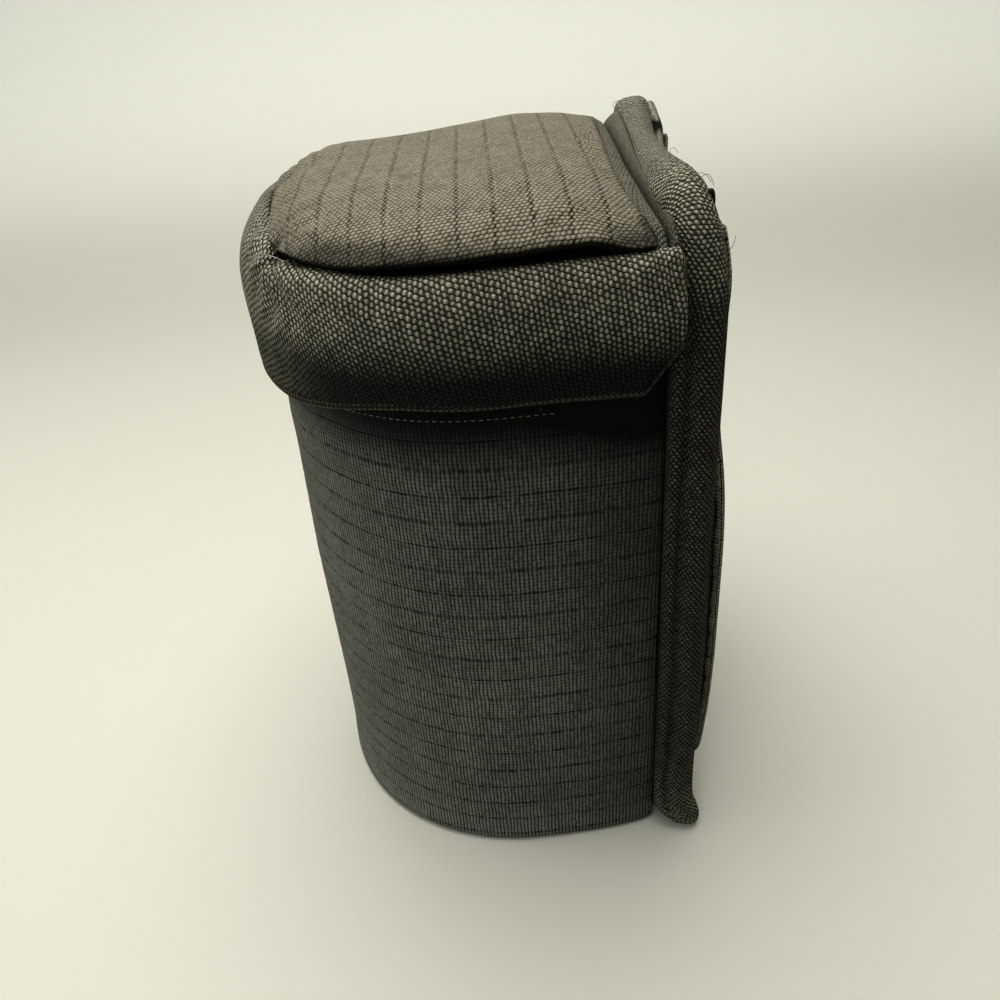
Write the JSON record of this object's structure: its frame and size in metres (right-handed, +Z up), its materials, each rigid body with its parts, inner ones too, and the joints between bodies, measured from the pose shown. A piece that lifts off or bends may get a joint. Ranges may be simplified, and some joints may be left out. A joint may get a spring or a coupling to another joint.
{
  "type": "lens pouch",
  "caption": "Tall padded lens pouch with a rounded front, flat padded back panel with bound edge, hinged puffy cap lid, foam lining and a belt strap on the back.",
  "frame": {"origin": "middle of the bounding box's underside, on the surface the pouch stands on", "axes": "+Z up, the rounded front faces -Y, the back panel and belt strap are at +Y, +X is across the pouch"},
  "size_m": [0.0994, 0.093, 0.1545],
  "materials": {
    "ripstop": "matte ripstop weave",
    "bias_weave": "matte coarse weave cut on the bias",
    "lining": "smooth brushed lining",
    "foam": "closed-cell foam",
    "board": "stiffener sheet",
    "hook_loop": "black hook-and-loop pile",
    "tape": "smooth bound tape"
  },
  "bodies": {
    "pouch": {"body_outer": "ripstop", "body_foam": "foam", "body_lining": "lining", "mouth_binding": "bias_weave", "base_outer": "ripstop", "base_foam": "foam", "base_lining": "lining", "back_lining": "lining", "back_foam": "foam", "back_board": "board", "back_outer": "ripstop", "back_binding": "bias_weave", "closure_loop": "hook_loop", "strap_catch": "hook_loop", "strap_fold": "ripstop"},
    "lid": {"lid_top_outer": "ripstop", "lid_top_foam": "foam", "lid_top_lining": "lining", "skirt_outer": "bias_weave", "skirt_foam": "foam", "skirt_lining": "lining", "skirt_hem": "bias_weave", "closure_hook": "hook_loop", "hinge_tape": "tape"},
    "belt_strap": {"strap_outer": "ripstop", "strap_lining": "hook_loop", "strap_hook": "hook_loop"}
  },
  "joints": [
    {"name": "lid_hinge", "type": "hinge", "parent": "pouch", "child": "lid", "pos_m": [0, 0.03264, 0.1522], "axis": [-1, 0, 0], "range_deg": [0, 110]},
    {"name": "strap_hinge", "type": "hinge", "parent": "pouch", "child": "belt_strap", "pos_m": [0, 0.0451, 0.14675], "axis": [1, 0, 0], "range_deg": [0, 95]}
  ]
}
